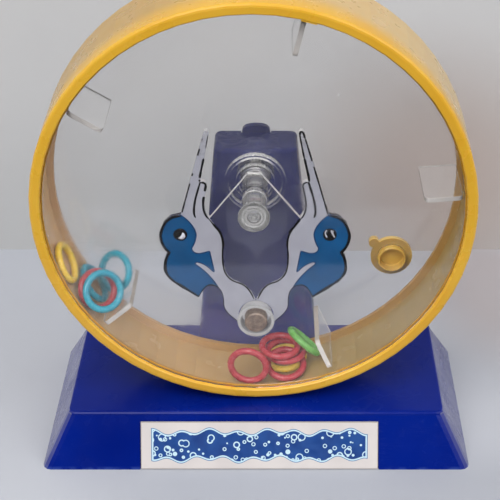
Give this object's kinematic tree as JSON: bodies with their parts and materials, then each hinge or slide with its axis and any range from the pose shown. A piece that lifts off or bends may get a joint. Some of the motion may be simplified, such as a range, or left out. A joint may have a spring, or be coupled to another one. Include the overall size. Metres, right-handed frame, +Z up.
{
  "type": "water ring toss game",
  "caption": "Toy ring toss: a round clear-faced drum with loose rings and a hanging plate cut as two long-beaked birds turns on a column with a broad base.",
  "frame": {"origin": "on the ground plane, under the middle of the base", "axes": "+X to the right seen from the front, +Y to the back along the drum's axis, +Z up"},
  "size_m": [0.148, 0.0734, 0.164],
  "materials": {
    "blue_plastic": "gloss",
    "label": "satin print",
    "amber_plastic": "gloss, slightly see-through",
    "bung": "satin",
    "clear_plastic": "clear",
    "white_print": "satin print",
    "blue_print": "satin print",
    "steel": "plated",
    "weight": "dull",
    "ring_red": "gloss",
    "ring_yellow": "gloss",
    "ring_cyan": "gloss",
    "ring_green": "gloss"
  },
  "bodies": {
    "stand": {"stand": "blue_plastic", "back_cover": "blue_plastic", "cover_screw_low": "steel", "cover_screw_high": "steel", "label": "label"},
    "drum": {"drum_shell": "amber_plastic", "front_window": "clear_plastic", "rear_disc": "clear_plastic", "centre_post": "clear_plastic", "post_cap": "clear_plastic", "axle_washer": "steel", "axle_screw": "steel", "paddle_1": "clear_plastic", "paddle_2": "clear_plastic", "paddle_3": "clear_plastic", "paddle_4": "clear_plastic", "paddle_5": "clear_plastic"},
    "bung": {"bung": "bung"},
    "birds": {"pendulum_plate": "clear_plastic", "left_bird_white": "white_print", "right_bird_white": "white_print", "left_bird_blue": "blue_print", "right_bird_blue": "blue_print", "weight_cup": "clear_plastic", "weight_slug": "weight"},
    "left_rings": {"ring_left_yellow": "ring_yellow", "ring_left_red": "ring_red", "ring_left_cyan": "ring_cyan", "ring_left_blue": "ring_cyan", "ring_left_teal": "ring_cyan"},
    "low_rings": {"ring_low_red_front": "ring_red", "ring_low_red_slant": "ring_red", "ring_low_red_top": "ring_red", "ring_low_red_middle": "ring_red", "ring_low_yellow": "ring_yellow", "ring_low_green": "ring_green"}
  },
  "joints": [
    {"name": "drum_turn", "type": "hinge", "parent": "stand", "child": "drum", "pos_m": [0, 0, 0.0915], "axis": [0, 1, 0], "continuous": true},
    {"name": "birds_swing", "type": "hinge", "parent": "drum", "child": "birds", "pos_m": [0, -0.0067, 0.0915], "axis": [0, 1, 0], "continuous": true},
    {"name": "bung_pull", "type": "slide", "parent": "drum", "child": "bung", "axis": [0, 1, 0], "range_m": [0, 0.005]},
    {"name": "left_rings_roll", "type": "hinge", "parent": "drum", "child": "left_rings", "pos_m": [0, -0.0067, 0.0915], "axis": [0, 1, 0], "range_deg": [0, 35]},
    {"name": "low_rings_roll", "type": "hinge", "parent": "drum", "child": "low_rings", "pos_m": [0, -0.0067, 0.0915], "axis": [0, 1, 0], "range_deg": [0, 35]}
  ]
}
